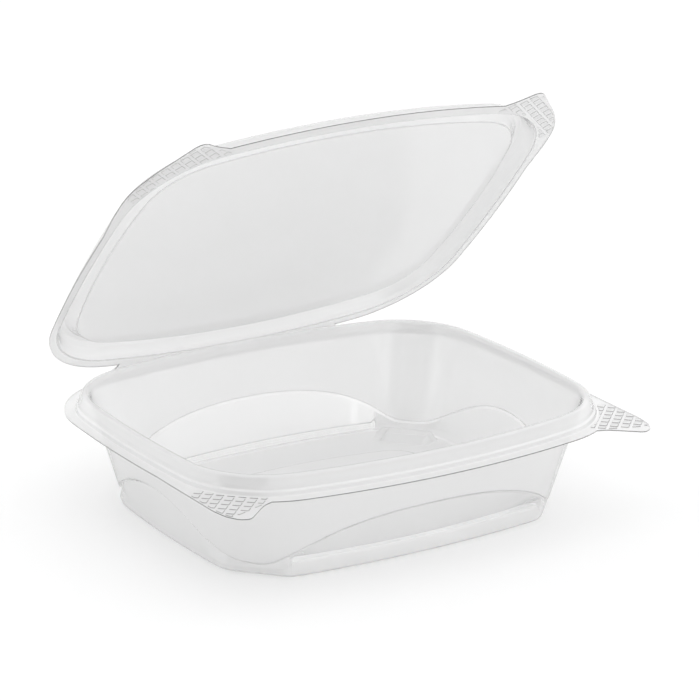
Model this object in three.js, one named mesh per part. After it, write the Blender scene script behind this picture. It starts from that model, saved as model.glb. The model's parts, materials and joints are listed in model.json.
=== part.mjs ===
// A clear takeaway meal container formed in one piece from thin plastic sheet: a deep tray
// and a lid, joined along the back by a flexible strip. Both are closed shells of even
// thickness. Each is made of upright slices that stand round the centre like the spokes of a
// wheel: a slice is a profile of reach from the centre and height, and the sheet lies between
// that profile and the same profile moved outwards by the sheet's thickness.
//
// Frame: millimetres, +Z up, origin at the centre of the face that the tray stands on. The
// long sides run along X, the front is -Y and the hinge is along the back, +Y.

import * as THREE from 'three';

const SHEET = 0.5;
const OPENING = 46.5; // degrees from shut to the resting position of the lid

// An outline is a rectangle with bowed sides and round corners. a and b are half its length
// and half its width, long and short the bow radii of the long and short sides.
const RIM = { a: 82.8, b: 70.4, long: 292, short: 484, corner: 31.1 };
const RIM_HEIGHT = 42.1;
const TRAY_FLANGE = { a: 92, b: 80.4, long: 319, short: 582, corner: 40.9 };
const TRAY_FLANGE_HEIGHT = 36.4;
const LID_FLANGE = { a: 92.1, b: 81.3, long: 308, short: 451, corner: 42.1 };
const LID_FLANGE_HEIGHT = 37.2;
const LID_PANEL = { a: 81.2, b: 68.2, long: 253, short: 263, corner: 27 };
const LID_PANEL_HEIGHT = 39.8;

// The tray's rolled bead from the rim's inner edge to the flange: distance out, height.
const BEAD = [[-0.5, 39.8], [0, 42.1], [1.1, 43.2], [2.5, 43.2], [3.6, 41.3], [4.7, 38.3], [5.5, 36.4]];
// The lid's ridge over that bead, from the plug that drops into the tray to the lid's flange.
const RIDGE = [[-0.95, 42.6], [0.6, 44.1], [3.0, 44.1], [4.4, 42.0], [5.4, 38.9], [6.3, 37.2]];

// Walls lean out by these amounts for each millimetre of height.
const LEAN_LONG = 0.14;
const LEAN_SHORT = 0.215;
const STEP_IN = 1.25; // how far the wall is set in below the arch line
const STEP_DOWN = 0.45; // half the height of that step
const CORNER_SPREAD = 0.27; // growth of the corners' radius for each millimetre below the rim

// The arch line is high in the middle of each side and low at the corners.
const ARCH_LONG = { top: 21, drop: 25.9, half: 62.8, power: 2.32 };
const ARCH_SHORT = { top: 20.6, fall: 0.0091 };
const ARCH_CORNER = 4.6;
const ARCH_SOFTNESS = 1.5;

// The foot: its bottom edge and its top edge. chamfer is the straight cut across each corner,
// from a point near the long side to a point near the short side.
const FOOT = { a: 72.4, b: 61.4, long: 400, short: 450, chamfer: [[54.0, 57.4], [70.5, 38.9]] };
const FOOT_TOP = { a: 73.2, b: 60.6, long: 400, short: 450, chamfer: [[55.0, 57.6], [71.2, 39.6]] };
const FOOT_TOP_HEIGHT = { short: 3.6, corner: 2.9, long: 5.2 };
const FOOT_ROUNDING = 80; // larger is sharper
// On the long sides the foot's top is a narrow ledge, from which the arched panel leans out.
// It ends within a small range of directions, in degrees from the X axis.
const LEDGE = { b: 57.4, bow: 270, height: 5.75, ends: [46, 47.4] };
const LEDGE_SHARE = 0.25; // elsewhere, this far up from the foot to the arch, and more at corners
const LEDGE_CORNER_SHARE = 0.8;

// The floor: a raised panel, a ring round it, and a raised pad near each corner.
const PANEL = { a: 52, b: 38.3, long: 190, short: 500, corner: 11 };
const PANEL_RISE = 0.8;
const PANEL_SLOPE = 2;
const PAD_RISE = 2.6;
const PAD_FRONT_FOOT = [[48.7, 44.2], [61.9, 30.0]];
const PAD_FRONT_TOP = [[51.9, 46.5], [64.0, 34.9]];
const PAD_BACK_TOP = 2.2; // from the foot's edge in to the back of the pad's top
const PAD_BACK_FOOT = 1.6;
const PAD_FROM = 29; // degrees from the X axis
const PAD_TO = 43;
const FLOOR_STEPS = [0.3, 0.5, 0.7, 0.85]; // where the floor ring's rows lie away from a pad

// Finger tabs stand out of the front corners of both flanges. Each is half of a mirrored pair.
const TRAY_TAB = [[91.5, 47], [90.6, 73.5], [89.3, 78.4], [86.2, 81.6], [82.9, 81.0]];
const LID_TAB = [[92.0, 50], [90.1, 58.3], [76.0, 79.2], [74.0, 81.2], [71.6, 82.1], [66.7, 79.9], [59.5, 76.4]];

// The hinge strip runs straight along the back between the two flanges.
const HINGE = { y: 81.8, z: 34.8 };
const TRAY_LIP = { half: 49.5, y: 81.45, z: 35.5 };
const LID_LIP = { half: 52, y: 82.35, z: 35.5, bend: 81.95 };
const FLANGE_EDGE = 1.2; // width of the flange's outermost band

// The directions of the slices, in degrees from the X axis towards the back and the front.
const TRAY_BACK = [0, 9, 17, 23.5, 27, 30, 33, 36, 39, 42, 44.6, 46, 47.4, 51, 55, 58.2, 58.75, 64, 71, 80.5, 90];
const TRAY_FRONT = [
  0, 9, 17, 23.5, 27, 30, 33, 36, 39, 41.3, 43.4, 44.3, 44.8, 46, 47.4, 51, 56.9, 63, 71, 80.5, 90,
];
const LID_BACK = [0, 9, 17, 24, 29, 33, 37, 41, 45, 50, 57.2, 57.8, 63, 71, 80.5, 90];
const LID_FRONT = [0, 9, 17, 24, 28.6, 32.9, 38, 42.5, 46.2, 48.9, 50.2, 52.1, 57, 63, 71, 80.5, 90];

const { degToRad: inRadians, lerp, smoothstep } = THREE.MathUtils;

function grow(outline, out) {
  return {
    a: outline.a + out,
    b: outline.b + out,
    long: outline.long + out,
    short: outline.short + out,
    corner: outline.corner + out,
  };
}

// The reach from the centre to the far side of a circle, along the direction (ux, uy).
function reachCircle(cx, cy, radius, ux, uy) {
  const along = cx * ux + cy * uy;
  return along + Math.sqrt(along ** 2 - cx ** 2 - cy ** 2 + radius ** 2);
}

// The reach from the centre to the line through two points.
function reachLine([px, py], [qx, qy], ux, uy) {
  const nx = py - qy;
  const ny = qx - px;
  return (px * nx + py * ny) / (ux * nx + uy * ny);
}

function reachOutline(outline, ux, uy) {
  const { a, b, long, short, corner } = outline;
  const longY = b - long;
  const shortX = a - short;
  const toLong = long - corner;
  const toShort = short - corner;
  const apart = Math.hypot(shortX, longY);
  const along = (toLong ** 2 - toShort ** 2 + apart ** 2) / (2 * apart);
  const across = Math.sqrt(toLong ** 2 - along ** 2);
  const cx = (along * shortX - across * longY) / apart;
  const cy = longY - (along * longY + across * shortX) / apart;
  const longEnd = Math.atan2(cy + (corner * (cy - longY)) / toLong, cx + (corner * cx) / toLong);
  const shortEnd = Math.atan2(cy + (corner * cy) / toShort, cx + (corner * (cx - shortX)) / toShort);
  const turn = Math.atan2(uy, ux);
  if (turn >= longEnd) return reachCircle(0, longY, long, ux, uy);
  if (turn <= shortEnd) return reachCircle(shortX, 0, short, ux, uy);
  return reachCircle(cx, cy, corner, ux, uy);
}

// The foot's outlines have bowed sides and a straight cut across each corner, a little rounded.
function reachFoot(outline, ux, uy) {
  const sides = [
    reachCircle(0, outline.b - outline.long, outline.long, ux, uy),
    reachCircle(outline.a - outline.short, 0, outline.short, ux, uy),
    reachLine(...outline.chamfer, ux, uy),
  ];
  const nearest = Math.min(...sides);
  const sum = sides.reduce((total, side) => total + (nearest / side) ** FOOT_ROUNDING, 0);
  return nearest / sum ** (1 / FOOT_ROUNDING);
}

// The reach to a tab's edge, or 0 beside the tab.
function reachTab(points, ux, uy) {
  for (let i = 1; i < points.length; i++) {
    const [p, q] = [points[i - 1], points[i]];
    const beforeEnd = ux * q[1] - uy * q[0] >= 0;
    const afterStart = ux * p[1] - uy * p[0] <= 0;
    if (beforeEnd && afterStart) return reachLine(p, q, ux, uy);
  }
  return 0;
}

function wallOutline(z, inset) {
  const below = RIM_HEIGHT - z;
  return {
    a: RIM.a - LEAN_SHORT * below - inset,
    b: RIM.b - LEAN_LONG * below - inset,
    long: RIM.long,
    short: RIM.short,
    corner: RIM.corner + CORNER_SPREAD * below - inset,
  };
}

function archHeight(x, y) {
  const share = Math.min(x / ARCH_LONG.half, 1);
  const long = ARCH_LONG.top - ARCH_LONG.drop * (1 - Math.sqrt(1 - share ** ARCH_LONG.power));
  const short = ARCH_SHORT.top - ARCH_SHORT.fall * y ** 2;
  const heights = [long, short, ARCH_CORNER];
  const highest = Math.max(...heights);
  const sum = heights.reduce((total, z) => total + Math.exp((z - highest) / ARCH_SOFTNESS), 0);
  return highest + ARCH_SOFTNESS * Math.log(sum);
}

// The height of the arch line where a slice meets the wall, found by a few repeats.
function archAt(ux, uy) {
  let z = ARCH_SHORT.top;
  for (let i = 0; i < 12; i++) {
    const reach = reachOutline(wallOutline(z, 0), ux, uy);
    z = (z + archHeight(reach * ux, reach * uy)) / 2;
  }
  return z;
}

// One slice of the tray's inside and of its flange's top, from the centre outwards.
function traySlice(degrees) {
  const ux = Math.abs(Math.cos(inRadians(degrees)));
  const uy = Math.abs(Math.sin(inRadians(degrees)));
  const turn = Math.atan2(uy, ux) / inRadians(1);
  const front = Math.sin(inRadians(degrees)) < 0;
  const slice = [[0, SHEET + PANEL_RISE]];

  const footReach = reachFoot(FOOT, ux, uy);
  const padFront = reachLine(...PAD_FRONT_FOOT, ux, uy);
  const nearPad = turn > PAD_FROM - 3 && turn < PAD_TO + 2;
  const panelLimit = nearPad ? padFront - 0.5 : Infinity;
  const panelFoot = Math.min(reachOutline(grow(PANEL, PANEL_SLOPE), ux, uy), panelLimit);
  slice.push([Math.min(reachOutline(PANEL, ux, uy), panelFoot - 1), SHEET + PANEL_RISE]);
  slice.push([panelFoot, SHEET]);

  const onPad = turn > PAD_FROM && turn < PAD_TO;
  const padTop = onPad ? SHEET + PAD_RISE : SHEET;
  if (nearPad) {
    slice.push([padFront, SHEET]);
    slice.push([reachLine(...PAD_FRONT_TOP, ux, uy), padTop]);
    slice.push([footReach - PAD_BACK_TOP, padTop]);
    slice.push([footReach - PAD_BACK_FOOT, SHEET]);
  } else {
    for (const share of FLOOR_STEPS) slice.push([panelFoot + share * (footReach - panelFoot), SHEET]);
  }
  slice.push([footReach, SHEET]);

  const arch = archAt(ux, uy);
  const archLow = [reachOutline(wallOutline(arch, STEP_IN), ux, uy), arch - STEP_DOWN];
  const cornerShare = smoothstep(15 - arch, 0, 9);
  const longShare = smoothstep(turn, ...LEDGE.ends);
  const lowHeight = lerp(FOOT_TOP_HEIGHT.short, FOOT_TOP_HEIGHT.corner, cornerShare);
  const footTop = [reachFoot(FOOT_TOP, ux, uy), lerp(lowHeight, FOOT_TOP_HEIGHT.long, longShare)];
  const up = lerp(LEDGE_SHARE, LEDGE_CORNER_SHARE, cornerShare);
  const ledgeReach = reachCircle(0, LEDGE.b - LEDGE.bow, LEDGE.bow, ux, uy);
  slice.push(footTop);
  slice.push([
    lerp(lerp(footTop[0], archLow[0], up), ledgeReach, longShare),
    lerp(lerp(footTop[1], archLow[1], up), LEDGE.height, longShare),
  ]);
  slice.push(archLow);
  slice.push([reachOutline(wallOutline(arch, 0), ux, uy), arch + STEP_DOWN]);
  for (const [out, z] of BEAD) slice.push([reachOutline(grow(RIM, out), ux, uy), z]);

  const flange = reachOutline(TRAY_FLANGE, ux, uy);
  const atHinge = !front && ux / uy < TRAY_LIP.half / TRAY_LIP.y;
  if (atHinge) {
    slice.push([(TRAY_LIP.y - FLANGE_EDGE) / uy, TRAY_FLANGE_HEIGHT]);
    slice.push([TRAY_LIP.y / uy, TRAY_LIP.z]);
  } else {
    slice.push([flange - FLANGE_EDGE, TRAY_FLANGE_HEIGHT]);
    slice.push([Math.max(flange, front ? reachTab(TRAY_TAB, ux, uy) : 0), TRAY_FLANGE_HEIGHT]);
  }
  return slice;
}

// One slice of the shut lid's top, from the centre outwards.
function lidSlice(degrees) {
  const ux = Math.abs(Math.cos(inRadians(degrees)));
  const uy = Math.abs(Math.sin(inRadians(degrees)));
  const front = Math.sin(inRadians(degrees)) < 0;
  const slice = [[0, LID_PANEL_HEIGHT]];
  slice.push([reachOutline(LID_PANEL, ux, uy), LID_PANEL_HEIGHT]);
  for (const [out, z] of RIDGE) slice.push([reachOutline(grow(RIM, out), ux, uy), z]);

  const flange = reachOutline(LID_FLANGE, ux, uy);
  const atHinge = !front && ux / uy < LID_LIP.half / LID_LIP.y;
  if (atHinge) {
    slice.push([LID_LIP.bend / uy, LID_FLANGE_HEIGHT]);
    slice.push([LID_LIP.y / uy, LID_LIP.z]);
  } else {
    slice.push([flange - FLANGE_EDGE, LID_FLANGE_HEIGHT]);
    slice.push([Math.max(flange, front ? reachTab(LID_TAB, ux, uy) : 0), LID_FLANGE_HEIGHT]);
  }
  return slice;
}

// The underside of a slice: the same profile, moved down and outwards by the sheet's thickness.
function underside(slice) {
  const normals = [];
  for (let i = 1; i < slice.length; i++) {
    const run = slice[i][0] - slice[i - 1][0];
    const rise = slice[i][1] - slice[i - 1][1];
    const length = Math.hypot(run, rise);
    normals.push([rise / length, -run / length]);
  }
  return slice.map(([reach, z], i) => {
    const before = normals[Math.max(i - 1, 0)];
    const after = normals[Math.min(i, normals.length - 1)];
    const sum = [before[0] + after[0], before[1] + after[1]];
    const scale = (2 * SHEET) / (sum[0] ** 2 + sum[1] ** 2);
    return [i === 0 ? 0 : reach + sum[0] * scale, z + sum[1] * scale];
  });
}

// All the slices' directions once round, from one list for the back and one for the front.
function directions(back, front) {
  const right = back;
  const left = back.slice(0, -1).reverse().map((angle) => 180 - angle);
  const frontLeft = front.slice(1).map((angle) => 180 + angle);
  const frontRight = front.slice(1, -1).reverse().map((angle) => 360 - angle);
  return [...right, ...left, ...frontLeft, ...frontRight];
}

// A closed shell from slices: the top, the underside and the narrow edge between them.
function shell(angles, sliceAt) {
  const tops = angles.map(sliceAt);
  const layers = [tops, tops.map(underside)];
  const rows = tops[0].length;
  const positions = [];
  const index = [];
  for (const slices of layers) {
    positions.push(0, 0, slices[0][0][1]);
    slices.forEach((slice, column) => {
      const angle = inRadians(angles[column]);
      for (const [reach, z] of slice.slice(1)) positions.push(reach * Math.cos(angle), reach * Math.sin(angle), z);
    });
  }
  const perLayer = 1 + angles.length * (rows - 1);
  const at = (layer, column, row) => {
    if (row === 0) return layer * perLayer;
    return layer * perLayer + 1 + (column % angles.length) * (rows - 1) + row - 1;
  };
  const face = (layer, a, b, c) => index.push(...(layer === 0 ? [a, b, c] : [a, c, b]));
  for (let layer = 0; layer < 2; layer++) {
    for (let column = 0; column < angles.length; column++) {
      face(layer, at(layer, 0, 0), at(layer, column, 1), at(layer, column + 1, 1));
      for (let row = 1; row < rows - 1; row++) {
        const near = at(layer, column, row);
        const far = at(layer, column, row + 1);
        const nextNear = at(layer, column + 1, row);
        const nextFar = at(layer, column + 1, row + 1);
        face(layer, near, far, nextFar);
        face(layer, near, nextFar, nextNear);
      }
    }
  }
  for (let column = 0; column < angles.length; column++) {
    const edge = [at(0, column, rows - 1), at(0, column + 1, rows - 1)];
    const under = [at(1, column, rows - 1), at(1, column + 1, rows - 1)];
    index.push(edge[0], under[0], under[1]);
    index.push(edge[0], under[1], edge[1]);
  }
  const geometry = new THREE.BufferGeometry();
  geometry.setAttribute('position', new THREE.Float32BufferAttribute(positions, 3));
  geometry.setIndex(index);
  geometry.computeVertexNormals();
  return geometry;
}

function clearPlastic() {
  return new THREE.MeshStandardMaterial({
    color: 0xe3e3e3,
    roughness: 0.08,
    metalness: 0,
    transparent: true,
    opacity: 0.35,
  });
}

function makeTray() {
  const tray = new THREE.Mesh(shell(directions(TRAY_BACK, TRAY_FRONT), traySlice), clearPlastic());
  tray.name = 'base';
  return tray;
}

// The lid is drawn shut and then turned open about the hinge.
function makeLid() {
  const geometry = shell(directions(LID_BACK, LID_FRONT), lidSlice);
  geometry.translate(0, -HINGE.y, -HINGE.z);
  const lid = new THREE.Mesh(geometry, clearPlastic());
  lid.name = 'lid';
  const swing = new THREE.Group();
  swing.position.set(0, HINGE.y, HINGE.z);
  swing.rotation.x = -inRadians(OPENING);
  swing.add(lid);
  return swing;
}

const group = new THREE.Group();
group.add(makeTray(), makeLid());

export default group;
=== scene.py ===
"""A clear hinged takeaway meal container, half open on a pale floor.

The tray and the lid are slim closed shells. Each is made of upright slices that stand round
the centre like the spokes of a wheel. A slice is a profile of reach from the centre and
height, worked out from a few outlines, with its bends rounded.

Sizes are in millimetres and become metres in the meshes. The camera and the lights are in
metres. A direction is a pair (ux, uy) folded into one quarter, and its turn in degrees goes
from 0 at the middle of a short side to 90 at the middle of a long one.
"""

import json
import math
from collections import namedtuple

import bpy
import numpy as np
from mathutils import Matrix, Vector


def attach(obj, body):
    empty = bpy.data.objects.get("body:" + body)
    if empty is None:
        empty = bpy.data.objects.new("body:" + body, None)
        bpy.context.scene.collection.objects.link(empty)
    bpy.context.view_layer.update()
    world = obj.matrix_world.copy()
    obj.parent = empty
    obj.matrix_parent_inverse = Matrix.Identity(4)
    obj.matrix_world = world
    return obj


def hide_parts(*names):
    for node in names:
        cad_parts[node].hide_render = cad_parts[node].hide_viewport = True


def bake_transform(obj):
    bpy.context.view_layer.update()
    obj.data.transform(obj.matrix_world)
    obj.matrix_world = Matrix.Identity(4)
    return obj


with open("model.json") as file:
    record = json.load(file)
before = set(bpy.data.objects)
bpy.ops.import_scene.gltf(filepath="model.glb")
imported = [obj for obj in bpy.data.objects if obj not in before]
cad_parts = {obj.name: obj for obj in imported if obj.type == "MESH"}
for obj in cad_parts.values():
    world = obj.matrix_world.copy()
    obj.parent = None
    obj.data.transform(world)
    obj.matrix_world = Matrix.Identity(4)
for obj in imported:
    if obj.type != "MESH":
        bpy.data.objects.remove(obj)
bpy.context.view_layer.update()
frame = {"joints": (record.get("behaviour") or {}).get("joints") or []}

MM = 0.001
TINY = 1e-9
SHEET = 0.36

# The hinge's line along the back, and the angle by which the lid stands open at rest
hinge = frame["joints"][0]
HINGE_Y, HINGE_Z = (place / MM for place in hinge["pos_m"][1:])
OPENING = -math.radians(hinge["range_deg"][0])

# An outline is a rectangle with bowed sides and round corners: half its length, half its
# width, the bow radii of the long and short sides, and the corner radius.
Outline = namedtuple("Outline", "a b long short corner")

RIM = Outline(82.8, 70.4, 292, 484, 31.1)
RIM_HEIGHT = 42.1
TRAY_FLANGE = Outline(92, 80.4, 319, 582, 40.9)
TRAY_FLANGE_HEIGHT = 36.4
LID_FLANGE = Outline(92.1, 81.3, 308, 451, 42.1)
LID_FLANGE_HEIGHT = 37.2
LID_PANEL = Outline(81.2, 68.2, 253, 263, 27)
LID_PANEL_HEIGHT = 39.8
LID_PANEL_BEND = 0.25
RIDGE_FOOT = 6.3

# Profiles as distance out from the rim's inner edge, height and the length of the rounding
BEAD = (
    (-0.5, 39.8, 0.8),
    (0.0, RIM_HEIGHT, 0.5),
    (0.9, 43.1, 0.6),
    (2.2, 43.2, 0.7),
    (3.0, 42.7, 0.6),
    (3.5, 41.3, 0.25),
    (4.1, 39.8, 0.3),
    (4.4, 38.5, 0.3),
    (5.2, 38.0, 0.3),
    (5.5, TRAY_FLANGE_HEIGHT, 0.5),
)
RIDGE = (
    (-0.95, 42.6, 0.3),
    (0.6, 44.1, 0.5),
    (3.0, 44.1, 0.5),
    (4.4, 42.0, 0.5),
    (5.4, 38.9, 0.5),
    (RIDGE_FOOT, LID_FLANGE_HEIGHT, 0.25),
)

# Towards the foot the walls lean in by these shares of the depth, and the corners grow rounder.
LEAN_LONG = 0.14
LEAN_SHORT = 0.215
CORNER_SPREAD = 0.27

# Each wall has an arched panel that is set in by a small step. Over the corners the arch is
# low: below the first of CORNER_ARCHES the wall is a corner's, above the second a side's.
STEP_IN = 1.1
STEP_DOWN = 0.4
STEP_BEND = 0.2
ARCH_LONG_TOP, ARCH_LONG_DROP, ARCH_LONG_HALF, ARCH_LONG_POWER = 21.0, 25.9, 62.8, 2.32
ARCH_SHORT_TOP, ARCH_SHORT_FALL = 20.6, 0.0091
ARCH_CORNER = 4.6
ARCH_SOFTNESS = 1.5
ARCH_ROUNDS = 14
CORNER_ARCHES = (6, 15)

# The foot is the outline that the tray stands on, with its corners cut off by straight lines.
Foot = namedtuple("Foot", "a b long short near far")
FOOT = Foot(72.4, 61.4, 400, 450, (54.0, 57.4), (70.5, 38.9))
FOOT_TOP = Foot(73.2, 60.6, 400, 450, (55.0, 57.6), (71.2, 39.6))
FOOT_TOP_SHORT, FOOT_TOP_CORNER, FOOT_TOP_LONG = 3.6, 2.9, 5.2
FOOT_BEND, FOOT_TOP_BEND = 0.8, 0.5
FOOT_SHARPNESS = 80

# The long sides have a ledge on the foot, from which the arched panels lean outwards. Where
# there is none, its row lies straight between foot and arch, at PLAIN_ROW of the way.
LEDGE_B, LEDGE_BOW, LEDGE_HEIGHT = 57.4, 270, 5.75
LEDGE_ENDS = (46.2, 47.2)
LEDGE_BEND = 0.25
PLAIN_ROW_SHORT, PLAIN_ROW_CORNER = 0.25, 0.8

# The tray's floor has a raised panel and a pad near each corner. The panel keeps PAD_GAP to
# the pads, and wider by PAD_GAP_FADE where their zone fades out.
PANEL = Outline(52, 38.3, 190, 500, 11)
PANEL_RISE, PANEL_SLOPE, PANEL_LEAST_SLOPE = 0.8, 1.6, 0.9
PANEL_BEND = 0.5
PAD_RISE = 2.6
PAD_FRONT_FOOT = ((48.7, 44.2), (61.9, 30.0))
PAD_FRONT_TOP = ((51.9, 46.5), (64.0, 34.9))
PAD_BACK_TOP, PAD_BACK_FOOT = 2.2, 1.6
PAD_FRONT_ENDS = (28.4, 41.9)
PAD_BACK_ENDS = (28.8, 44.4)
PAD_END_WIDTH = 1.2
PAD_BEND = 0.4
PAD_ZONE, PAD_ZONE_FADE = (24, 47), 4
PAD_GAP, PAD_GAP_FADE = 0.4, 10
FLOOR_STEPS = (0.3, 0.5, 0.7, 0.85)

# Corners of the finger tabs at the front, as distances to the side and to the front
TRAY_TAB = (
    (91.3, 29), (91.3, 40), (91.1, 54), (91.0, 68), (89.8, 75.2), (87.4, 79.6), (84.4, 81.3),
    (82.2, 80.4), (80.6, 79.0), (78.2, 76.8), (75.4, 74.2), (72.8, 72.3), (70.0, 71.3),
)
LID_TAB = (
    (91.4, 29), (91.8, 40), (91.4, 49), (90.4, 54.5), (88.6, 59.2), (84.2, 66.6), (77.0, 75.4),
    (73.4, 80.0), (71.2, 81.5), (68.8, 81.2), (65.8, 79.4), (62.4, 77.6), (58.0, 75.9),
)
TAB_CORNER = 1.2
FLANGE_EDGE = 1.2
FLANGE_BEND = 0.3

# The lips of both flanges at the hinge: half their length, their edge and where they bend
Lip = namedtuple("Lip", "half y z bend_y")
TRAY_LIP = Lip(49.5, 81.45, 35.5, 80.25)
LID_LIP = Lip(52.0, 82.35, 35.5, 81.95)

# Directions of the slices: an even step, and closer pairs where an outline turns sharply
SLICE_STEP = 1.0
CLOSE_PAIR = 0.12
TRAY_TAB_TURNS = np.arange(42.8, 46.0, 0.2)
LID_TAB_TURNS = np.arange(46.4, 53.5, 0.5)

# A bend's curve has this many points and takes up at most this share of the legs beside it.
BEND_STEPS = 4
BEND_SHARE = 0.46
SHARPEST_MITRE = 1.2

# Small squares on the finger tabs, in a grid turned by 45 degrees. They stand up from the
# tray's tabs and down from the underside of the lid's. A grid is set by the sum and the
# difference of the distances to the side and to the front. The squares lie inside the tab's
# border, and outside the rim's edge by TRAY_CELL_INNER or LID_CELL_INNER.
CELL_PITCH = 4.06
CELL_SIZE = 3.0
CELL_SLOPE = 0.28
CELL_ROOT = 0.03
CELL_SMALLEST = 0.9
TRAY_CELL_RISE = 0.25
LID_CELL_RISE = -0.1
TAB_BORDER = 0.5
TAB_START = 48.5
TRAY_GRID = (142.2, 13.77)
LID_GRID = (142.2, 1.95)
GRID_ROWS, GRID_COLUMNS = range(-20, 20), range(-12, 14)
TRAY_CELL_INNER, LID_CELL_INNER = 6.6, 7.4

# Hinge strip: a shallow groove between the two lips, straight along the back. Its inner side
# goes through points given as steps from the tray's lip, the hinge's line and the lid's lip.
STRIP_HALF = 49.3
STRIP_STEPS = 40
STRIP_BEND = 0.3
STRIP_BY_TRAY = ((-0.25, 0.15), (0, -0.25))
STRIP_BY_HINGE = ((-0.05, -0.05), (0.4, -0.2))
STRIP_BY_LID = ((-0.1, -0.15), (0.15, 0.15))

# Material slots of the shells after the sheet's own, and of the squares after their faces
# The slots for the cut edge, the bends and the squares' sides hold painted shade; the slot after
# the bends' holds a painted highlight.
CUT_EDGE_SHADE_SLOT, CREASE_SHADE_SLOT, PAINTED_HIGHLIGHT_SLOT = 1, 2, 3
CELL_SIDE_SHADE_SLOT = 1

# Clear materials: how light the sheet is to look through, and the share of light it scatters
CLEAR_SHEETS = {
    "clear_tray_sheet": (0.97, 0.4),
    "clear_lid_sheet": (0.95, 0.4),
    # Painted shade: the cut edge is dark, for the line that edge-on sheet shows.
    "clear_cut_edge_painted_shade": (0.2, 0.1),
    # Painted shade: sharp bends are darker, for the dark lines they show.
    "clear_crease": (0.8, 0.2),
    # Painted shade: the squares' sides are dark, for the tab lattice's outlines.
    "clear_cell_side_painted_shade": (0.5, 0.15),
    # Painted highlight: the ledge's shelf and the foot's back face are clearer and lighter.
    "clear_painted_highlight_sheet": (0.99, 0.12),
}
SCATTER_GREY = 0.85
MIRROR_GREY, MIRROR_ROUGHNESS = 0.8, 0.06
MIRROR_LEAST, MIRROR_POWER = 0.07, 5
WAVE_SCALE, WAVE_DETAIL, WAVE_STRENGTH, WAVE_HEIGHT = 45, 2, 0.12, 0.0006
CLEAR_LAYERS = 64

FLOOR_HALF = 6000
FLOOR_DROP = 0.1
FLOOR_GREY, FLOOR_ROUGHNESS, FLOOR_SHINE = 0.96, 0.9, 0.1

CAMERA_PLACE = (-0.5950, -0.9708, 0.4360)
CAMERA_AZIMUTH, CAMERA_ELEVATION = 31.78, 18.29
CAMERA_LENS, CAMERA_SENSOR, CAMERA_REACH = 165.6, 36, 50

# Softboxes face the object: their places, sizes and powers. The top one shows only in gloss.
SOFTBOX_TOP = ((0.8, -0.1, 1.3), (0.8, 1.2), 3)
SOFTBOX_LEFT = ((-1.5, 0.4, 1.1), (0.6, 0.6), 1)

# The studio is pale all round but for one side, to the left of the camera. DARK_COSINES are
# the cosines of the angles to that side at which the shade begins and is full.
DARK_SIDE = (-0.78, -0.48, 0.4)
DARK_COSINES = (0.85, 0.91)
STUDIO_PALE, STUDIO_DARK = 1.165, 0.25


def grow(outline, out):
    return Outline(*(size + out for size in outline))


def reach_circle(cx, cy, radius, ux, uy):
    """Distance from the centre to a circle round (cx, cy), like all reaches along (ux, uy)."""
    along = cx * ux + cy * uy
    return along + np.sqrt(along**2 - cx**2 - cy**2 + radius**2)


def reach_line(p, q, ux, uy):
    nx, ny = p[1] - q[1], q[0] - p[0]
    return (p[0] * nx + p[1] * ny) / (ux * nx + uy * ny)


def reach_outline(outline, ux, uy):
    """Distance to an outline: the corner's circle, or the side's in the turns beside it."""
    a, b, long, short, corner = outline
    long_y, short_x = b - long, a - short
    to_long, to_short = long - corner, short - corner
    apart = np.hypot(short_x, long_y)
    along = (to_long**2 - to_short**2 + apart**2) / (2 * apart)
    across = np.sqrt(to_long**2 - along**2)
    cx = (along * short_x - across * long_y) / apart
    cy = long_y - (along * long_y + across * short_x) / apart
    long_end = np.arctan2(cy + corner * (cy - long_y) / to_long, cx + corner * cx / to_long)
    short_end = np.arctan2(cy + corner * cy / to_short, cx + corner * (cx - short_x) / to_short)
    turn = np.arctan2(uy, ux)
    reach = reach_circle(cx, cy, corner, ux, uy)
    reach = np.where(turn >= long_end, reach_circle(0, long_y, long, ux, uy), reach)
    return np.where(turn <= short_end, reach_circle(short_x, 0, short, ux, uy), reach)


def reach_foot(foot, ux, uy):
    """Distance to the nearest of the foot's sides, with the corners between them softened."""
    sides = np.array(
        [
            reach_circle(0, foot.b - foot.long, foot.long, ux, uy),
            reach_circle(foot.a - foot.short, 0, foot.short, ux, uy),
            reach_line(foot.near, foot.far, ux, uy),
        ]
    )
    nearest = sides.min(axis=0)
    total = np.sum((nearest / sides) ** FOOT_SHARPNESS, axis=0)
    return nearest / total ** (1 / FOOT_SHARPNESS)


def reach_tab(points, ux, uy):
    """Distance to a tab's outline, and 0 in the directions that miss it."""
    reach = np.zeros_like(ux)
    for p, q in zip(points, points[1:]):
        inside = (ux * q[1] - uy * q[0] >= 0) & (ux * p[1] - uy * p[0] <= 0)
        reach = np.where(inside, reach_line(p, q, ux, uy), reach)
    return reach


def bend_curve(start, bend, end, t):
    """The point at share t of the short curve that rounds a bend."""
    return (1 - t) ** 2 * start + 2 * t * (1 - t) * bend + t**2 * end


def rounded_corners(points, size, steps=5, most_of_leg=0.45):
    """The same open outline with each inner point replaced by a short curve."""
    out = [points[0]]
    for before, bend, after in zip(points, points[1:], points[2:]):
        bend = np.array(bend, float)
        ends = []
        for other in (before, after):
            leg = np.array(other, float) - bend
            ends.append(bend + leg * min(size / np.linalg.norm(leg), most_of_leg))
        for t in np.linspace(0, 1, steps):
            out.append(tuple(bend_curve(ends[0], bend, ends[1], t)))
    return out + [points[-1]]


def wall_outline(z, inset):
    """The inner side of the walls at a height, moved in by the inset."""
    below = RIM_HEIGHT - z
    a = RIM.a - LEAN_SHORT * below - inset
    b = RIM.b - LEAN_LONG * below - inset
    return Outline(a, b, RIM.long, RIM.short, RIM.corner + CORNER_SPREAD * below - inset)


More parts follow.
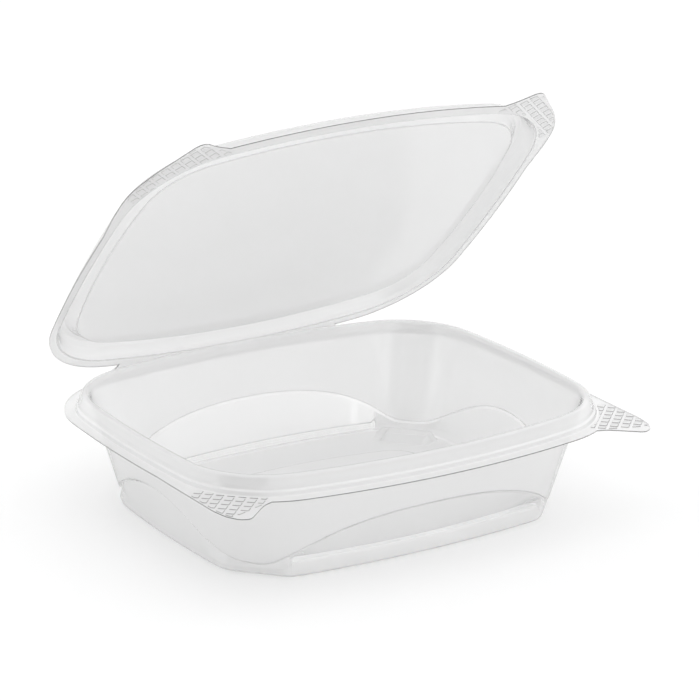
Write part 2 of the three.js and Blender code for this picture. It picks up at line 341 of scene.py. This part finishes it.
def arch_height(x, y):
    """The highest of the long side's, the short side's and the corner's arch, blended."""
    share = np.minimum(x / ARCH_LONG_HALF, 1)
    long = ARCH_LONG_TOP - ARCH_LONG_DROP * (1 - np.sqrt(1 - share**ARCH_LONG_POWER))
    short = ARCH_SHORT_TOP - ARCH_SHORT_FALL * y**2
    heights = np.array([long, short, np.full_like(x, ARCH_CORNER)])
    return ARCH_SOFTNESS * np.log(np.sum(np.exp(heights / ARCH_SOFTNESS), axis=0))


def arch_at(ux, uy):
    """The height at which the leaning wall and the arch meet, closed in on step by step."""
    z = np.full_like(ux, ARCH_SHORT_TOP)
    for _ in range(ARCH_ROUNDS):
        reach = reach_outline(wall_outline(z, 0), ux, uy)
        z = (z + arch_height(reach * ux, reach * uy)) / 2
    return z


def smooth(low, high, value):
    share = np.clip((value - low) / (high - low), 0, 1)
    return share**2 * (3 - 2 * share)


def between(ends, width, turn):
    """1 between two directions and 0 outside, with a slope at each."""
    return smooth(ends[0] - width, ends[0], turn) * smooth(-ends[1] - width, -ends[1], -turn)


def mix(first, second, share):
    return first + (second - first) * share


class Slices:
    """All slices of one shell at once, as rows of bends from the centre outwards."""

    def __init__(self, degrees):
        self.angle = np.radians(degrees)
        self.ux, self.uy = np.abs(np.cos(self.angle)), np.abs(np.sin(self.angle))
        self.turn = np.degrees(np.arctan2(self.uy, self.ux))
        self.front = np.sin(self.angle) < -TINY
        self.reach, self.z, self.rounding = [], [], []
        self.crease, self.painted_highlight = [], []
        self.slotted = []

    def row(self, reach, z, rounding=0.0, crease=False, painted_highlight=False):
        """Adds a bend. The flag after the rounding gives the bend a dark line of painted shade,
        and the last flag makes the sheet before it clearer, as a painted highlight.
        """
        self.reach.append(np.broadcast_to(reach, self.angle.shape))
        self.z.append(np.broadcast_to(z, self.angle.shape))
        self.rounding.append(rounding)
        self.crease.append(np.broadcast_to(crease, self.angle.shape))
        self.painted_highlight.append(np.broadcast_to(painted_highlight, self.angle.shape))

    def profile(self):
        """Array (directions, rows, 2) of reach and height, with the bends rounded.

        Fills slotted with the face strips that get painted shade at sharp bends, or a painted
        highlight as clearer sheet: the first row of each, the directions where it does, and the
        material slot.
        """
        points = np.stack([np.array(self.reach).T, np.array(self.z).T], axis=-1)
        rows = [points[:, 0]]
        for i in range(1, points.shape[1] - 1):
            bend = points[:, i]
            # The strip before a marked bend takes the painted highlight.
            self.slotted.append((len(rows) - 1, self.painted_highlight[i], PAINTED_HIGHLIGHT_SLOT))
            # The faces round a marked bend take the painted shade.
            for k in range(BEND_STEPS - 1):
                self.slotted.append((len(rows) + k, self.crease[i], CREASE_SHADE_SLOT))
            ends = []
            for other in (points[:, i - 1], points[:, i + 1]):
                leg = other - bend
                length = np.maximum(np.linalg.norm(leg, axis=1, keepdims=True), 1e-6)
                ends.append(bend + leg * np.minimum(self.rounding[i] / length, BEND_SHARE))
            rows += [bend_curve(ends[0], bend, ends[1], t) for t in np.linspace(0, 1, BEND_STEPS)]
        rows.append(points[:, -1])
        return np.stack(rows, axis=1)


def flange_rows(slices, flange, height, tab, lip):
    """The flange's last two rows, with its tabs in front and its hinge lip at the back."""
    ux, uy = slices.ux, slices.uy
    outer = reach_outline(flange, ux, uy)
    at_hinge = ~slices.front & (ux / np.maximum(uy, TINY) < lip.half / lip.y)
    tab_edge = np.where(slices.front, reach_tab(rounded_corners(tab, TAB_CORNER), ux, uy), 0)
    across = np.where(at_hinge, uy, 1)
    bend = np.where(at_hinge, lip.bend_y / across, outer - FLANGE_EDGE)
    slices.row(bend, height, FLANGE_BEND)
    edge = np.where(at_hinge, lip.y / across, np.maximum(outer, tab_edge))
    slices.row(edge, np.where(at_hinge, lip.z, height))


def tray_floor(s):
    """Rows from the centre to the foot: the raised panel, and the pads near the corners."""
    ux, uy, turn = s.ux, s.uy, s.turn
    floor = SHEET
    foot = reach_foot(FOOT, ux, uy)
    near_pad = between(PAD_ZONE, PAD_ZONE_FADE, turn)
    zone = np.clip(turn, PAD_ZONE[0] - PAD_ZONE_FADE, PAD_ZONE[1] + PAD_ZONE_FADE)
    px, py = np.cos(np.radians(zone)), np.sin(np.radians(zone))
    pad_foot = reach_line(*PAD_FRONT_FOOT, px, py)
    pad_top = reach_line(*PAD_FRONT_TOP, px, py)
    limit = pad_foot - PAD_GAP + PAD_GAP_FADE * (1 - near_pad)
    panel_foot = reach_outline(grow(PANEL, PANEL_SLOPE), ux, uy)
    panel_foot = np.where(near_pad > 0, np.minimum(panel_foot, limit), panel_foot)
    panel_top = np.minimum(reach_outline(PANEL, ux, uy), panel_foot - PANEL_LEAST_SLOPE)

    s.row(0, floor + PANEL_RISE)
    s.row(panel_top, floor + PANEL_RISE, PANEL_BEND)
    s.row(panel_foot, floor, PANEL_BEND)
    front_rise = PAD_RISE * between(PAD_FRONT_ENDS, PAD_END_WIDTH, turn)
    back_rise = PAD_RISE * between(PAD_BACK_ENDS, PAD_END_WIDTH, turn)
    lines = (pad_foot, pad_top, foot - PAD_BACK_TOP, foot - PAD_BACK_FOOT)
    for share, line, rise in zip(FLOOR_STEPS, lines, (0, front_rise, back_rise, 0)):
        flat = mix(panel_foot, foot, share)
        s.row(mix(flat, line, near_pad), floor + rise, PAD_BEND)
    s.row(foot, floor, FOOT_BEND)


def tray_walls(s):
    """Rows from the foot to the rim: the foot's top, the ledge and the arched panel."""
    ux, uy, turn = s.ux, s.uy, s.turn
    arch = arch_at(ux, uy)
    low_arch, high_arch = CORNER_ARCHES
    corner_share = smooth(0, high_arch - low_arch, high_arch - arch)
    long_share = smooth(*LEDGE_ENDS, turn)
    on_ledge = long_share > 0.5

    foot_top = reach_foot(FOOT_TOP, ux, uy)
    foot_top_z = mix(FOOT_TOP_SHORT, FOOT_TOP_CORNER, corner_share)
    foot_top_z = mix(foot_top_z, FOOT_TOP_LONG, long_share)
    # At the back the foot's face is made clearer, as a painted highlight.
    s.row(foot_top, foot_top_z, FOOT_TOP_BEND, painted_highlight=on_ledge & ~s.front)

    panel_top = reach_outline(wall_outline(arch, STEP_IN), ux, uy)
    panel_top_z = arch - STEP_DOWN
    up = mix(PLAIN_ROW_SHORT, PLAIN_ROW_CORNER, corner_share)
    ledge = reach_circle(0, LEDGE_B - LEDGE_BOW, LEDGE_BOW, ux, uy)
    ledge = mix(mix(foot_top, panel_top, up), ledge, long_share)
    ledge_z = mix(mix(foot_top_z, panel_top_z, up), LEDGE_HEIGHT, long_share)
    # The ledge's bend gets a line of painted shade, and its shelf a painted highlight.
    s.row(ledge, ledge_z, LEDGE_BEND, crease=on_ledge, painted_highlight=on_ledge)
    s.row(panel_top, panel_top_z, STEP_BEND)
    wall = reach_outline(wall_outline(arch, 0), ux, uy)
    # The step's upper bend gets a line of painted shade.
    s.row(wall, arch + STEP_DOWN, STEP_BEND, crease=True)


def tray_slices():
    tab = [(turn, True) for turn in TRAY_TAB_TURNS]
    ledge = [(turn, front) for turn in np.linspace(*LEDGE_ENDS, 3) for front in (True, False)]
    s = Slices(directions(*tab, *ledge, (lip_turn(TRAY_LIP), False)))
    tray_floor(s)
    tray_walls(s)
    for out, z, rounding in BEAD:
        s.row(reach_outline(grow(RIM, out), s.ux, s.uy), z, rounding)
    flange_rows(s, TRAY_FLANGE, TRAY_FLANGE_HEIGHT, TRAY_TAB, TRAY_LIP)
    return s


def lid_slices():
    tab = [(turn, True) for turn in LID_TAB_TURNS]
    s = Slices(directions(*tab, (lip_turn(LID_LIP), False)))
    s.row(0, LID_PANEL_HEIGHT)
    panel = reach_outline(LID_PANEL, s.ux, s.uy)
    # The panel's border gets a line of painted shade.
    s.row(panel, LID_PANEL_HEIGHT, LID_PANEL_BEND, crease=True)
    for out, z, rounding in RIDGE:
        ridge = reach_outline(grow(RIM, out), s.ux, s.uy)
        # The foot of the ridge gets a line of painted shade.
        s.row(ridge, z, rounding, crease=out == RIDGE_FOOT)
    flange_rows(s, LID_FLANGE, LID_FLANGE_HEIGHT, LID_TAB, LID_LIP)
    return s


def lip_turn(lip):
    return math.degrees(math.atan2(lip.y, lip.half))


def directions(*sharp):
    """Directions round the centre, even but with a close pair at each sharp turn.

    A sharp turn is given as its turn and whether it is at the front. It counts on both sides.
    """
    angles = list(np.arange(0, 360, SLICE_STEP))
    for turn, front in sharp:
        sides = (360 - turn, 180 + turn) if front else (turn, 180 - turn)
        for side in sides:
            angles += [side - CLOSE_PAIR, side + CLOSE_PAIR]
    return np.unique(np.round(np.array(angles) % 360, 3))


def thicken(profile):
    """The same profiles moved down and outwards by the sheet's thickness."""
    step = np.diff(profile, axis=1)
    length = np.maximum(np.linalg.norm(step, axis=2, keepdims=True), TINY)
    normal = np.stack([step[..., 1], -step[..., 0]], axis=-1) / length
    before = np.concatenate([normal[:, :1], normal], axis=1)
    after = np.concatenate([normal, normal[:, -1:]], axis=1)
    total = before + after
    squared = np.sum(total**2, axis=2, keepdims=True)
    moved = profile + total * 2 * SHEET / np.maximum(squared, SHARPEST_MITRE)
    moved[:, 0, 0] = 0
    return moved


def shell_points(slices, layers):
    """The points of both layers: a layer's centre, then its slices from the centre out."""
    cos, sin = np.cos(slices.angle)[:, None], np.sin(slices.angle)[:, None]
    points = []
    for layer in layers:
        reach, z = layer[:, 1:, 0], layer[:, 1:, 1]
        points.append([[0, 0, layer[0, 0, 1]]])
        points.append(np.stack([reach * cos, reach * sin, z], axis=-1).reshape(-1, 3))
    return np.concatenate(points)


def shell_faces(count, rows):
    """The triangles round both centres, the four-sided faces of both layers, the cut edge."""
    per_layer = 1 + count * (rows - 1)
    column = np.arange(count)
    after = (column + 1) % count

    def at(layer, columns, row):
        return layer * per_layer + 1 + columns * (rows - 1) + row - 1

    fans, quads = [], []
    for layer, order in ((0, 1), (1, -1)):
        centre = np.full(count, layer * per_layer)
        fan = [centre, at(layer, column, 1), at(layer, after, 1)]
        fans.append(np.stack(fan, axis=1)[:, ::order])
        for row in range(1, rows - 1):
            quad = [
                at(layer, column, row),
                at(layer, column, row + 1),
                at(layer, after, row + 1),
                at(layer, after, row),
            ]
            quads.append(np.stack(quad, axis=1)[:, ::order])
    last = rows - 1
    edge = [at(0, column, last), at(1, column, last), at(1, after, last), at(0, after, last)]
    return np.concatenate(fans), np.concatenate(quads), np.stack(edge, axis=1)


def unit(vectors):
    return vectors / np.maximum(np.linalg.norm(vectors, axis=1, keepdims=True), 1e-12)


def shell_normals(points, fans, quads, edge):
    """A normal for each face corner: smooth and area-weighted, but flat on the cut edge."""
    normals = np.zeros_like(points)
    for faces in (fans, quads):
        first, second, third, last = (points[faces[:, k]] for k in (0, 1, 2, -1))
        cross = np.cross(third - first, last - second)
        for corner in range(faces.shape[1]):
            np.add.at(normals, faces[:, corner], cross)
    normals = unit(normals)
    a, b, d = (points[edge[:, k]] for k in (0, 1, 3))
    flat = np.repeat(unit(np.cross(b - a, d - a)), 4, axis=0)
    return np.concatenate([normals[fans.ravel()], normals[quads.ravel()], flat])


def shell_slots(slices, count, rows):
    """The material slot of each face, in the order of shell_faces."""
    strips = rows - 2
    slots = np.zeros((2 + 2 * strips + 1) * count, dtype=np.int32)
    # The cut edge takes its painted shade.
    slots[-count:] = CUT_EDGE_SHADE_SLOT
    for layer in (0, 1):
        for row, where, slot in slices.slotted:
            if where.any():
                first = (2 + layer * strips + row - 1) * count
                slots[first : first + count][where] = slot
    return slots


def add_piece(name, points, faces, slots=None):
    """An object from points in millimetres and faces, with a material slot for each face."""
    mesh = bpy.data.meshes.new(name)
    mesh.from_pydata((np.array(points, float) * MM).tolist(), [], faces)
    if slots is not None:
        mesh.polygons.foreach_set("material_index", slots)
    piece = bpy.data.objects.new(name, mesh)
    bpy.context.collection.objects.link(piece)
    return piece


def shell(name, slices, place=None):
    """A closed piece of sheet from slices. place moves its points, for the open lid."""
    top = slices.profile()
    count, rows = top.shape[:2]
    points = shell_points(slices, (top, thicken(top)))
    if place:
        points = place(points)
    fans, quads, edge = shell_faces(count, rows)
    faces = [*fans.tolist(), *quads.tolist(), *edge.tolist()]
    piece = add_piece(name, points, faces, shell_slots(slices, count, rows))
    piece.data.normals_split_custom_set(shell_normals(points, fans, quads, edge).tolist())
    return piece


def opened(points):
    """Points of the shut lid, turned open about the hinge."""
    along = HINGE_Y - points[:, 1]
    above = points[:, 2] - HINGE_Z
    y = HINGE_Y - along * math.cos(OPENING) + above * math.sin(OPENING)
    z = HINGE_Z + along * math.sin(OPENING) + above * math.cos(OPENING)
    return np.stack([points[:, 0], y, z], axis=1)


def lid_lip_point():
    return opened(np.array([[0, LID_LIP.y, LID_LIP.z]]))[0]


def clip(polygon, point, normal):
    """The part of a convex polygon on the side that the normal points away from."""
    out = []
    for i, p in enumerate(polygon):
        q = polygon[i - 1]
        dp, dq = (p - point) @ normal, (q - point) @ normal
        if (dp <= 0) != (dq <= 0):
            out.append(q + (p - q) * (dq / (dq - dp)))
        if dp <= 0:
            out.append(p)
    return out


def spread_of(outline):
    return np.linalg.norm(outline - outline.mean(axis=0), axis=1)


def tab_squares(tab, inner, grid):
    """The outlines of one tab's squares, cut off at its borders and without the smallest."""
    step = CELL_PITCH * math.sqrt(2)
    corners = np.array([(1, 0), (0, 1), (-1, 0), (0, -1)]) * CELL_SIZE / math.sqrt(2)
    squares = []
    for i in GRID_ROWS:
        for j in GRID_COLUMNS:
            total, gap = grid[0] + i * step, grid[1] + j * step
            centre = np.array([(total + gap) / 2, (total - gap) / 2])
            if centre.min() < TAB_START:
                continue
            square = list(centre + corners)
            for p, q in zip(tab, tab[1:]):
                along = np.subtract(q, p)
                normal = np.array([along[1], -along[0]]) / np.hypot(*along)
                square = clip(square, p - normal * TAB_BORDER, normal)
            way = centre / np.hypot(*centre)
            square = clip(square, way * float(reach_outline(inner, *way)), -way)
            if len(square) < 3:
                continue
            spread = spread_of(np.array(square))
            if spread.min() >= CELL_SMALLEST / 2 and spread.max() >= CELL_SMALLEST:
                squares.append(np.array(square))
    return squares


def tab_cells(name, squares, height, rise, place=None):
    """The squares of both tabs of one body as one piece. With negative rise they stand down."""
    root = math.copysign(CELL_ROOT, rise)
    points, faces, slots = [], [], []
    for foot in squares:
        middle = foot.mean(axis=0)
        top = middle + (foot - middle) * (1 - CELL_SLOPE / spread_of(foot))[:, None]
        count = len(foot)
        ring = list(range(count))
        ends = [ring[::-1], [k + count for k in ring]]
        sides = [[k, (k + 1) % count, (k + 1) % count + count, k + count] for k in ring]
        for side in (1, -1):
            first = len(points)
            order = 1 if side * rise < 0 else -1
            points += [(side * x, -y, height - root) for x, y in foot]
            points += [(side * x, -y, height + rise) for x, y in top]
            faces += [[first + k for k in face[::order]] for face in ends + sides]
            # The squares' sides take their painted shade.
            slots += [0] * len(ends) + [CELL_SIDE_SHADE_SLOT] * len(sides)
    points = np.array(points)
    if place:
        points = place(points)
    return add_piece(name, points, faces, slots)


def hinge_strip():
    """A closed strip: its section, drawn from the tray to the lid, repeated along the back."""
    anchors = (
        ((TRAY_LIP.y, TRAY_LIP.z), STRIP_BY_TRAY),
        ((HINGE_Y, HINGE_Z), STRIP_BY_HINGE),
        (lid_lip_point()[1:], STRIP_BY_LID),
    )
    inner = [(y + dy, z + dz) for (y, z), steps in anchors for dy, dz in steps]
    line = np.array(rounded_corners(inner, STRIP_BEND, steps=4))
    step = np.gradient(line, axis=0)
    normal = unit(np.stack([step[:, 1], -step[:, 0]], axis=1))
    section = np.concatenate([line, (line + normal * SHEET)[::-1]])
    ring = len(section)
    xs = np.linspace(-STRIP_HALF, STRIP_HALF, STRIP_STEPS + 1)
    points = [(x, y, z) for x in xs for y, z in section]
    faces = []
    for i in range(STRIP_STEPS):
        for k in range(ring):
            a, b = i * ring + k, i * ring + (k + 1) % ring
            faces.append((a, b, b + ring, a + ring))
    faces.append(tuple(range(ring))[::-1])
    faces.append(tuple(range(STRIP_STEPS * ring, (STRIP_STEPS + 1) * ring)))
    piece = add_piece("hinge_strip", points, faces)
    piece.data.polygons.foreach_set("use_smooth", [len(face) == 4 for face in faces])
    return piece


def grey(value):
    return (value, value, value, 1)


def sheet_waves(new, link):
    """The slight waves of formed sheet, as a bent normal."""
    place = new("ShaderNodeTexCoord")
    waves = new("ShaderNodeTexNoise")
    waves.inputs["Scale"].default_value = WAVE_SCALE
    waves.inputs["Detail"].default_value = WAVE_DETAIL
    link(place.outputs["Object"], waves.inputs["Vector"])
    bump = new("ShaderNodeBump")
    bump.inputs["Strength"].default_value = WAVE_STRENGTH
    bump.inputs["Distance"].default_value = WAVE_HEIGHT
    link(waves.outputs["Fac"], bump.inputs["Height"])
    return bump.outputs["Normal"]


def mirror_share(new, link, normal):
    """The share of light that is mirrored: little head on, nearly all at a slant."""
    facing = new("ShaderNodeLayerWeight")
    facing.inputs["Blend"].default_value = 0.5
    link(normal, facing.inputs["Normal"])
    power = new("ShaderNodeMath")
    power.operation = "POWER"
    power.inputs[1].default_value = MIRROR_POWER
    link(facing.outputs["Facing"], power.inputs[0])
    share = new("ShaderNodeMapRange")
    share.inputs["To Min"].default_value = MIRROR_LEAST
    share.inputs["To Max"].default_value = 1.0
    link(power.outputs[0], share.inputs["Value"])
    return share.outputs[0]


def clear_material(name, tint, haze):
    """Clear sheet: sees through, mirrors more at a slant, and scatters the share haze."""
    material = bpy.data.materials.new(name)
    material.use_nodes = True
    tree = material.node_tree
    tree.nodes.clear()
    new, link = tree.nodes.new, tree.links.new
    waves = sheet_waves(new, link)

    through = new("ShaderNodeBsdfTransparent")
    through.inputs["Color"].default_value = grey(tint)
    scatter = new("ShaderNodeBsdfDiffuse")
    scatter.inputs["Color"].default_value = grey(SCATTER_GREY)
    hazy = new("ShaderNodeMixShader")
    hazy.inputs["Fac"].default_value = haze
    link(through.outputs[0], hazy.inputs[1])
    link(scatter.outputs[0], hazy.inputs[2])

    mirror = new("ShaderNodeBsdfAnisotropic")
    mirror.inputs["Roughness"].default_value = MIRROR_ROUGHNESS
    mirror.inputs["Color"].default_value = grey(MIRROR_GREY)
    link(waves, mirror.inputs["Normal"])
    sheet = new("ShaderNodeMixShader")
    link(mirror_share(new, link, waves), sheet.inputs["Fac"])
    link(hazy.outputs[0], sheet.inputs[1])
    link(mirror.outputs[0], sheet.inputs[2])
    out = new("ShaderNodeOutputMaterial")
    link(sheet.outputs[0], out.inputs["Surface"])
    return material


def floor_material():
    material = bpy.data.materials.new("floor_paint")
    material.use_nodes = True
    shader = material.node_tree.nodes["Principled BSDF"]
    shader.inputs["Base Color"].default_value = grey(FLOOR_GREY)
    shader.inputs["Roughness"].default_value = FLOOR_ROUGHNESS
    shader.inputs["Specular IOR Level"].default_value = FLOOR_SHINE
    return material


def dress(piece, *materials):
    piece.visible_shadow = False
    for material in materials:
        piece.data.materials.append(material)


def add_shells(clear):
    # The painted shade of the cut edge and the bends, and the painted highlight of clearer strips
    shade_and_highlight_sheets = [clear[name] for name in ("clear_cut_edge_painted_shade", "clear_crease", "clear_painted_highlight_sheet")]
    tray = shell("tray", tray_slices())
    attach(tray, "base")
    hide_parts("base")
    dress(tray, clear["clear_tray_sheet"], *shade_and_highlight_sheets)

    lid = shell("lid_shell", lid_slices(), opened)
    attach(lid, "lid")
    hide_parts("lid")
    dress(lid, clear["clear_lid_sheet"], *shade_and_highlight_sheets)


def add_cells(clear):
    squares = tab_squares(TRAY_TAB, grow(RIM, TRAY_CELL_INNER), TRAY_GRID)
    cells = tab_cells("tray_tab_cells", squares, TRAY_FLANGE_HEIGHT, TRAY_CELL_RISE)
    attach(cells, "base")
    # The squares' sides take painted shade.
    dress(cells, clear["clear_tray_sheet"], clear["clear_cell_side_painted_shade"])

    squares = tab_squares(LID_TAB, grow(RIM, LID_CELL_INNER), LID_GRID)
    underside = LID_FLANGE_HEIGHT - SHEET
    cells = tab_cells("lid_tab_cells", squares, underside, LID_CELL_RISE, opened)
    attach(cells, "lid")
    # The squares' sides take painted shade.
    dress(cells, clear["clear_tray_sheet"], clear["clear_cell_side_painted_shade"])


def add_hinge_strip(clear):
    strip = hinge_strip()
    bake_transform(strip)
    dress(strip, clear["clear_tray_sheet"])


def add_floor():
    corners = [(x * FLOOR_HALF, y * FLOOR_HALF, 0) for x, y in ((-1, -1), (1, -1), (1, 1), (-1, 1))]
    floor = add_piece("floor", corners, [(0, 1, 2, 3)])
    floor.location.z = -FLOOR_DROP * MM
    floor.data.materials.append(floor_material())


def add_camera():
    data = bpy.data.cameras.new("camera")
    data.lens = CAMERA_LENS
    data.sensor_width = CAMERA_SENSOR
    data.clip_end = CAMERA_REACH
    camera = bpy.data.objects.new("camera", data)
    camera.location = CAMERA_PLACE
    tilt, pan = math.radians(90 - CAMERA_ELEVATION), math.radians(-CAMERA_AZIMUTH)
    camera.rotation_euler = (tilt, 0, pan)
    bpy.context.collection.objects.link(camera)
    bpy.context.scene.camera = camera


def add_softbox(name, place, size, power):
    data = bpy.data.lights.new(name, "AREA")
    data.shape = "RECTANGLE"
    data.size, data.size_y = size
    data.energy = power
    light = bpy.data.objects.new(name, data)
    light.location = place
    light.rotation_euler = (-Vector(place)).to_track_quat("-Z", "Y").to_euler()
    bpy.context.collection.objects.link(light)
    return light


def add_studio():
    """The world's light, which is paler all round than towards the dark side."""
    world = bpy.data.worlds.new("studio")
    world.use_nodes = True
    new, link = world.node_tree.nodes.new, world.node_tree.links.new
    background = world.node_tree.nodes["Background"]
    background.inputs["Color"].default_value = grey(1)
    way = new("ShaderNodeTexCoord")
    side = new("ShaderNodeVectorMath")
    side.operation = "DOT_PRODUCT"
    side.inputs[1].default_value = DARK_SIDE
    shade = new("ShaderNodeMapRange")
    shade.inputs["From Min"].default_value, shade.inputs["From Max"].default_value = DARK_COSINES
    shade.inputs["To Min"].default_value = STUDIO_PALE
    shade.inputs["To Max"].default_value = STUDIO_DARK
    link(way.outputs["Generated"], side.inputs[0])
    link(side.outputs["Value"], shade.inputs["Value"])
    link(shade.outputs[0], background.inputs["Strength"])
    bpy.context.scene.world = world


def main():
    add_camera()
    clear = {name: clear_material(name, *look) for name, look in CLEAR_SHEETS.items()}
    add_shells(clear)
    add_cells(clear)
    add_hinge_strip(clear)
    add_floor()
    top = add_softbox("softbox_top", *SOFTBOX_TOP)
    top.visible_diffuse = False
    add_softbox("softbox_left", *SOFTBOX_LEFT)
    add_studio()
    scene = bpy.context.scene
    scene.view_settings.view_transform = "Standard"
    scene.cycles.transparent_max_bounces = CLEAR_LAYERS


main()
